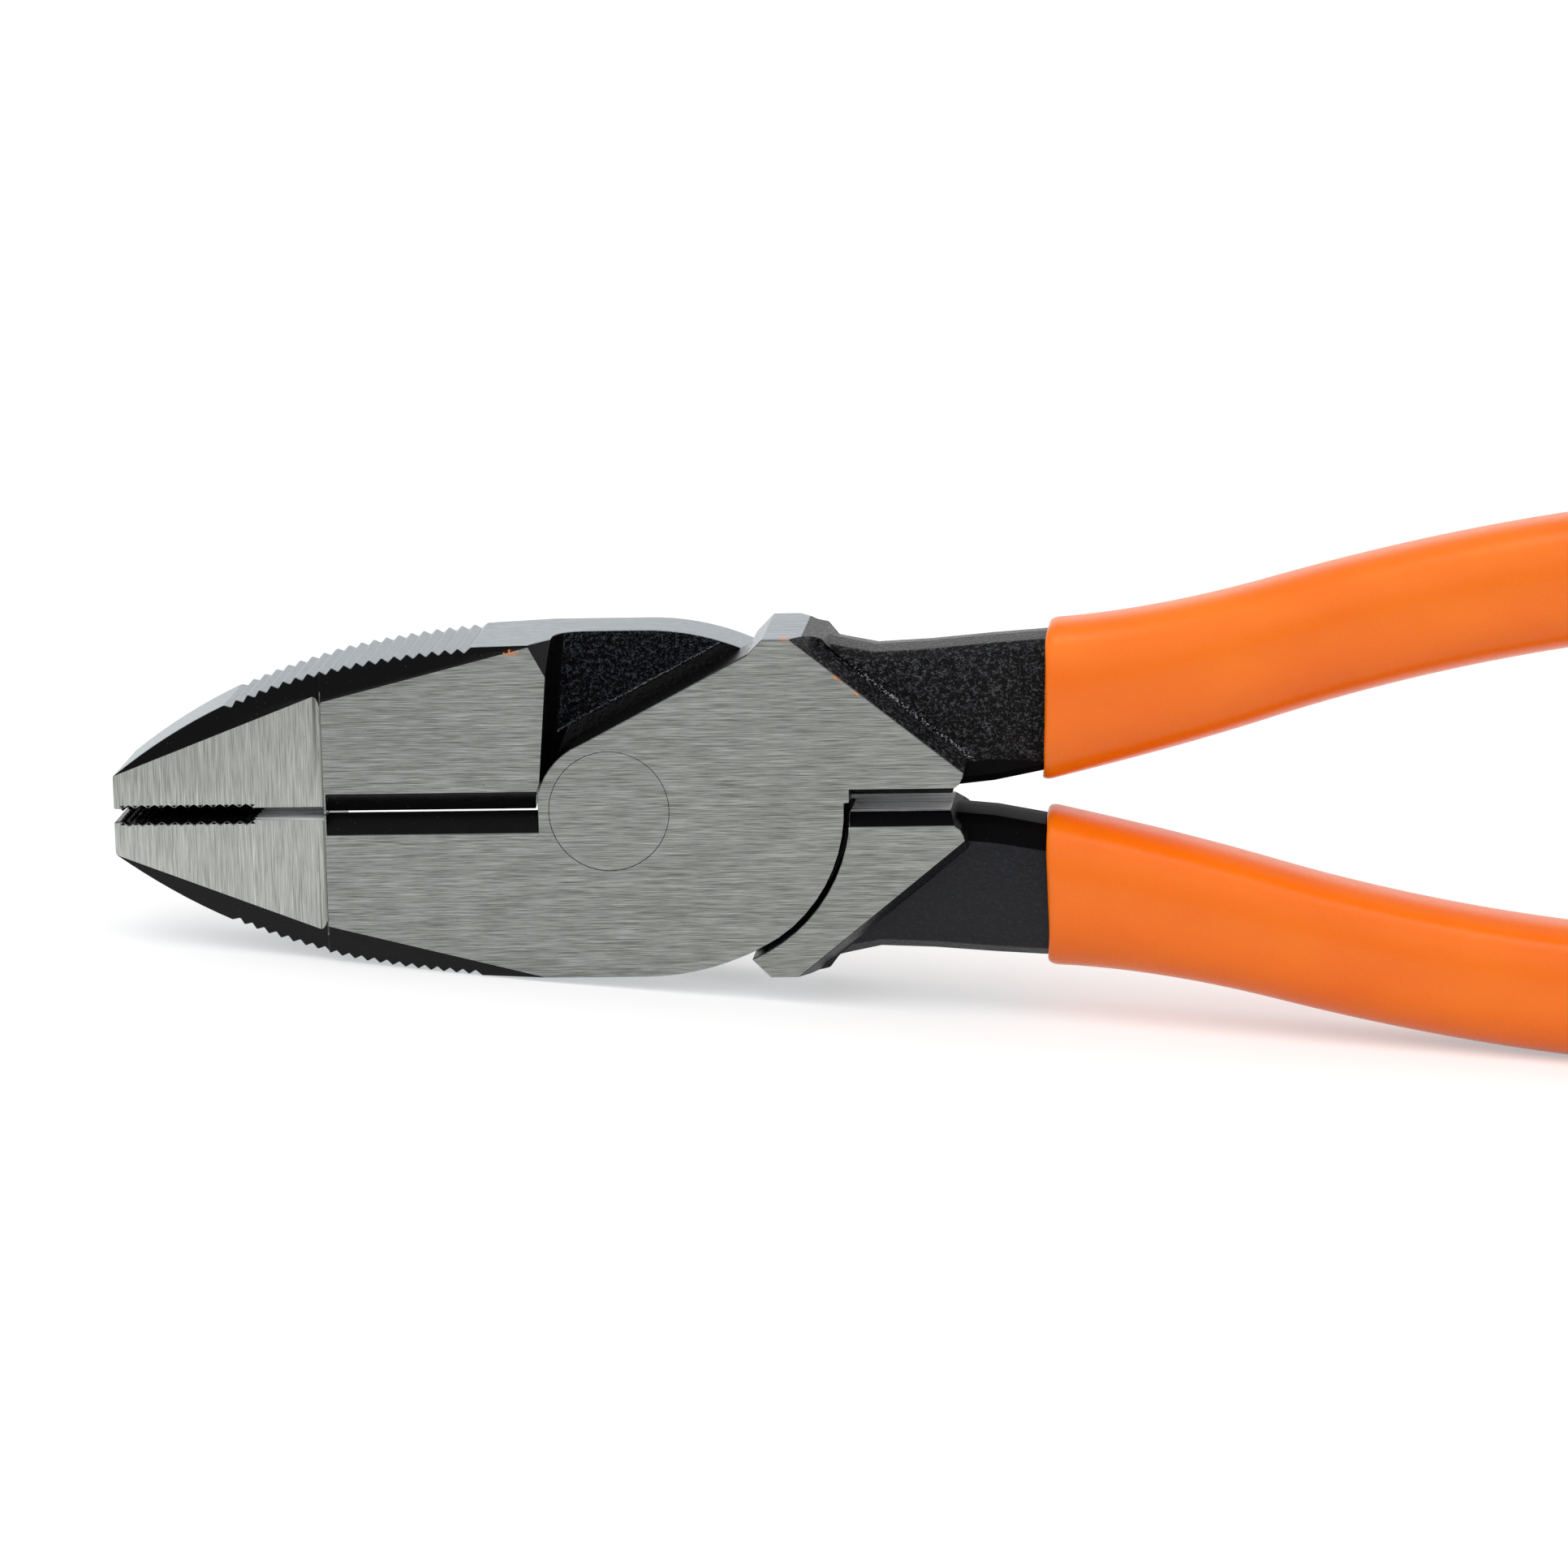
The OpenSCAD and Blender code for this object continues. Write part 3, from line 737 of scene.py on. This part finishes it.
print("middle line from", BEND_X[0], "to", BEND_X[-1])

# %% [markdown]
# The recipe's inputs are what a maker of grips would ask for: where the mouth and the
# end are, how thick and wide the grip is, how much it flares and how the lip leans.
# The grid's own two directions, u and v, run from 0 to 1.

# %% The grips' inputs and the flat grid
dip = Recipe("dipped_grip", Mouth=float(mouth_x), End=float(handle_l), Thickness=float(grip_t),
             Width=12.3, Flare=2.7, Flare_Length=14.0, Lip=0.9, Dome=7.0, Handle_End=190.05,
             Set_Back=0.3, Lean=0.0)
mouth, end, thick, width, flare, flare_l, lip, dome, handle_end, set_back, lean = dip.inputs
ROWS, COLUMNS = 200, 72
grid = dip.start.node("GeometryNodeMeshGrid", (1.0, 1.0, ROWS + 1, COLUMNS + 1))
u, v, _ = dip.start.node("GeometryNodeInputPosition").xyz()
u, v = u + 0.5, v + 0.5
turn = v * (2 * math.pi)
cos, sin = turn.math("COSINE"), turn.math("SINE")
print("grid of", ROWS, "by", COLUMNS, "cells")

# %% [markdown]
# The grid's length is shared out: its first tenth is the inner wall, the next strip
# rolls round the lip, and the rest is the skin. A dipped edge is never quite straight,
# so two small waves run round the lip and die out behind it.

# %% How far along the handle each row lies
LIP_AT, SKIN_AT = 0.1, 0.16
WAVES_FADE = 6.0
skin = (1.0 - (u.rise(SKIN_AT, 1.0) * math.pi).math("COSINE")) * 0.5
roll = u.rise(LIP_AT, SKIN_AT)
lip_x = mouth + lip
inside = 1.0 - u.rise(1 / ROWS, LIP_AT)
x = lip_x + (handle_end - lip_x) * inside * inside + (end - lip_x) * skin
x = x - lip * (roll * math.pi).math("SINE")
wave = (turn * 2.0 + 0.7).math("SINE") * 0.1 + (turn * 5.0).math("SINE") * 0.05
wave = wave + sin * lean - set_back
x = x + wave * (1.0 - (x - mouth).rise(0.0, WAVES_FADE))
print("inner wall to", LIP_AT, "lip to", SKIN_AT, "then the skin")

# %% [markdown]
# The section goes from the inner wall to the skin while the lip rolls. The inner wall
# follows the steel of the handle with a little room, so the grip is a true sleeve. A
# rounded box is a circle whose sine and cosine are raised to a power below 1.

# %% Half thickness, half width and corners of the section
ROOM = 0.05
WAIST_X, TAIL_X = 60, 190
# Half width of the steel inside at the mouth and at the waist, and what the tail loses
STEEL_WIDE = (6.45, 5.2)
TAIL_LOSS = -0.6
# Its half thickness at the mouth and at the tail
STEEL_THICK = (5.0, 4.4)
# Squareness: 2 is an ellipse, more is boxier
INSIDE_POWER, OUTSIDE_POWER = 4.0, 2.6
domed = (1.0 - (x - (end - dome)).clamped(0, 100) ** 2.0 / dome ** 2.0).clamped() ** 0.5
flared = (width + flare * ((mouth - x) / flare_l).math("EXPONENT")) * 0.5
narrowed = between(x, WAIST_X, TAIL_X, 0, TAIL_LOSS)
tang_b = between(x, mouth_x, WAIST_X, *STEEL_WIDE) + narrowed + ROOM
tang_a = between(x, mouth_x, TAIL_X, *STEEL_THICK) + ROOM
outside = (1.0 - (roll * math.pi).math("COSINE")) * 0.5
closed = u.rise(0.0, 1 / ROWS)
half_a = (tang_a + (thick * 0.5 - tang_a) * outside) * domed * closed
half_b = (tang_b + (flared - tang_b) * outside) * domed * closed
corner = between(outside, 0, 1, 2 / INSIDE_POWER, 2 / OUTSIDE_POWER)
print("room round the steel", ROOM, "mm")

# %% [markdown]
# Now every point of the grid has its place. Where the grid's sides meet and its ends
# close to a point, the doubled points are merged, so the sleeve is one closed skin.

# %% The grid bent into a sleeve
y = half_a * cos.math("SIGN") * cos.math("ABSOLUTE") ** corner
z = middle(x) + half_b * sin.math("SIGN") * sin.math("ABSOLUTE") ** corner
place = dip.start.node("ShaderNodeCombineXYZ", (x, y, z))
skinned = dip.start.node("GeometryNodeSetPosition", {"Geometry": grid, "Position": place})
joined = skinned.node("GeometryNodeMergeByDistance", {"Geometry": skinned, "Distance": 0.0005})
smooth = joined.node("GeometryNodeSetShadeSmooth", (joined,))
dip.finished(smooth, orange_vinyl)

# %% [markdown]
# The recipe is used twice. The lower grip belongs to the half that is turned over, so
# it is turned over too. Only the set-back and the lean of its lip differ.

# %% Both grips
upper = dip.baked("upper_grip_vinyl", Matrix(), Set_Back=0.3, Lean=0.4)
lower = dip.baked("lower_grip_vinyl", turned_over, Set_Back=0.4, Lean=-0.12)
declared(upper, "front_lever", "upper_grip")
declared(lower, "back_lever", "lower_grip")

# %% [markdown]
# ## The rivet
# The rivet is headed over and ground flush with both sides, so all it shows is a
# hairline circle. A cylinder would need its heads cut afterwards. Spun from its
# outline, the rivet has its countersunk heads and their softened rims in one step. It
# is ground by the same belt as the face around it.

# %% The rivet, spun from its outline
SPIN_STEPS = 96


def rivet_outline():
    """Radius and depth of each corner, from one head's middle to the other's."""
    rim, shank, sink, soft = rivet_r, 4.75, 1.6, 0.02
    upper = [(0, face_y), (rim - soft, face_y), (rim, face_y - soft), (shank, face_y - sink)]
    return upper + [(r, -y) for r, y in reversed(upper)]


shape = bmesh.new()
ring = [shape.verts.new((r, y, 0)) for r, y in rivet_outline()]
line = [shape.edges.new(pair) for pair in zip(ring, ring[1:])]
bmesh.ops.spin(shape, geom=ring + line, cent=(0, 0, 0), axis=(0, 1, 0), angle=2 * math.pi,
               steps=SPIN_STEPS)
bmesh.ops.remove_doubles(shape, verts=shape.verts, dist=0.001)
bmesh.ops.recalc_face_normals(shape, faces=shape.faces)
for face in shape.faces:
    face.smooth = True
shape.transform(from_tool)
mesh = bpy.data.meshes.new("rivet_steel_pin")
shape.to_mesh(mesh)
shape.free()
mesh.set_sharp_from_angle(angle=math.radians(30))
mesh.materials.append(ground_face)
declared(linked("rivet_steel_pin", mesh), "back_lever", "pivot_rivet")

# %% [markdown]
# ## Floor, light and camera
# The pliers lie on a plain white sweep. The floor takes the shadow as a real surface,
# and to the camera, and in what shines, it also glows just enough to read as white.

# %% Floor
FLOOR_PALE, FLOOR_GLOW = 0.66, 0.42
FLOOR_HALF = 8


def looked_at(start):
    """1 for rays from the camera, off a shiny surface or through a clear one."""
    kinds = ("Is Camera Ray", "Is Glossy Ray", "Is Transmission Ray")
    camera, glossy, clear = (start.node("ShaderNodeLightPath", out=kind) for kind in kinds)
    return (camera + glossy + clear).clamped()


def swept(name):
    """A dull white that glows a little."""
    made = bpy.data.materials.new(name)
    made.use_nodes = True
    tree = made.node_tree
    tree.nodes.clear()
    start = Wire(tree)
    matt = start.node("ShaderNodeBsdfDiffuse", {"Color": (FLOOR_PALE, FLOOR_PALE, FLOOR_PALE, 1)})
    glow = start.node("ShaderNodeEmission", {"Strength": looked_at(start) * FLOOR_GLOW})
    both = start.node("ShaderNodeAddShader", (matt, glow))
    both.node("ShaderNodeOutputMaterial", (both,))
    return made


shape = bmesh.new()
bmesh.ops.create_grid(shape, x_segments=8, y_segments=8, size=FLOOR_HALF)
mesh = bpy.data.meshes.new("floor")
shape.to_mesh(mesh)
shape.free()
mesh.materials.append(swept("white_sweep"))
floor = linked("floor", mesh)
print("floor", 2 * FLOOR_HALF, "m square")

# %% [markdown]
# The world is white where the camera looks. In reflections it is white behind the tool,
# as a backdrop is, and dim elsewhere, with one round softbox overhead: that is what
# makes the upper bevels black, the lower ones grey, and the vinyl's highlight a soft
# band.

# %% World
SOFT_SKY, DARK_SKY, SOFTBOX = 0.8, 0.28, 2.5
BACKDROP_EDGE, BACKDROP_TOP, SOFTBOX_RIM = (0.0, 0.5), (0.3, 0.7), (0.93, 0.98)
world = bpy.data.worlds.new("studio")
bpy.context.scene.world = world
world.use_nodes = True
world.node_tree.nodes.clear()
sky = Wire(world.node_tree)
_, back, up = sky.node("ShaderNodeTexCoord", out="Generated").xyz()
camera = sky.node("ShaderNodeLightPath", out="Is Camera Ray")
glossy = sky.node("ShaderNodeLightPath", out="Is Glossy Ray")
backdrop = back.rise(*BACKDROP_EDGE) * (1.0 - up.rise(*BACKDROP_TOP))
softbox = up.rise(*SOFTBOX_RIM) * SOFTBOX
reflected = backdrop * (1.0 - DARK_SKY) + softbox + DARK_SKY
strength = glossy * (reflected - SOFT_SKY) + SOFT_SKY
strength = camera * (1.0 - strength) + strength
sky_light = sky.node("ShaderNodeBackground", {"Color": (1, 1, 1, 1), "Strength": strength})
sky_light.node("ShaderNodeOutputWorld", (sky_light,))
print("sky", SOFT_SKY, "softbox", SOFTBOX)

# %% [markdown]
# One broad lamp overhead casts the soft shadow. It stays out of reflections, because
# the world already holds the softbox that shows in them.

# %% Lamp
light = bpy.data.lights.new("overhead", "SUN")
light.energy = 1.1
light.angle = math.radians(70)
lamp = bpy.data.objects.new("overhead", light)
lamp.rotation_euler = (math.radians(32), math.radians(-14), 0)
lamp.visible_glossy = False
bpy.context.scene.collection.objects.link(lamp)
print("lamp", round(light.energy, 2), "over", round(math.degrees(light.angle)), "degrees")

# %% [markdown]
# The camera looks from a little above, with a long lens and a slight roll. It is
# placed by where it looks, from how far and from which side, as on a tripod.

# %% Camera
def look(target, distance, azimuth, elevation, roll, focal):
    """Angles in degrees, distance in metres, focal length in millimetres."""
    az, el, turn = (math.radians(a) for a in (azimuth, elevation, roll))
    back = Vector((math.sin(az) * math.cos(el), -math.cos(az) * math.cos(el), math.sin(el)))
    level = Vector((0, 0, 1)).cross(back).normalized()
    rise = back.cross(level)
    right = level * math.cos(turn) + rise * math.sin(turn)
    up = rise * math.cos(turn) - level * math.sin(turn)
    lens = bpy.data.cameras.new("camera")
    lens.lens = focal
    lens.sensor_width = 36
    lens.clip_start = 0.05
    camera = bpy.data.objects.new("camera", lens)
    camera.matrix_world = Matrix.Translation(Vector(target) + back * distance) @ Matrix(
        (right, up, back)).transposed().to_4x4()
    bpy.context.scene.collection.objects.link(camera)
    bpy.context.scene.camera = camera


look(target=(-0.05816, 0, 0.01941), distance=0.728, azimuth=3.78, elevation=11.09, roll=4.07,
     focal=177.02)
bpy.context.scene.view_settings.view_transform = "Standard"
print("camera at", tuple(round(c, 3) for c in bpy.context.scene.camera.matrix_world.translation))
